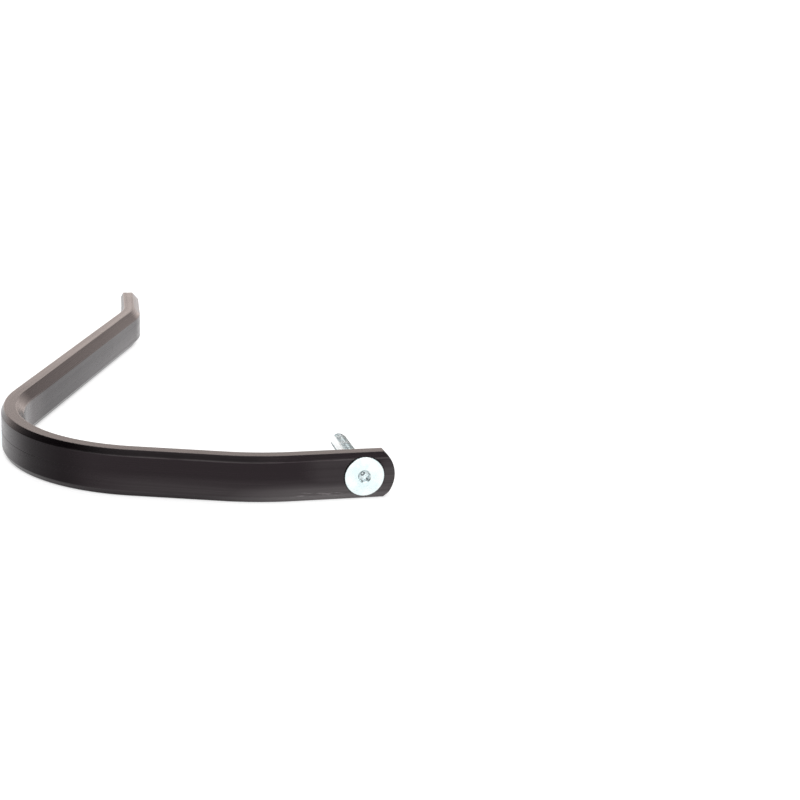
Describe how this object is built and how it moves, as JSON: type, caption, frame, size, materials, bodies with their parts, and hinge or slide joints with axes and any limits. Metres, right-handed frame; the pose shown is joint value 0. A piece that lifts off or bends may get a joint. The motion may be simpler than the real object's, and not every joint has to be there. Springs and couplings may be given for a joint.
{
  "type": "motorcycle hand guard",
  "caption": "Bent metal hand guard bar of octagonal section: a countersunk bolt holds its rounded end to the handlebar's end, and its other end is drilled for a clamp.",
  "frame": {"origin": "where the bolt leaves the inner face of the bar, at mid height", "axes": "+Y along the bolt into the handlebar and towards the clamp end, -X from the bolt along the near arm, +Z square to the plane in which the bar is bent"},
  "size_m": [0.1741, 0.3451, 0.022],
  "materials": {
    "black_bar": "black anodised, satin",
    "zinc_bolt": "bright zinc plated"
  },
  "bodies": {
    "root": {"guard_bar": "black_bar", "end_bolt": "zinc_bolt"}
  },
  "joints": []
}
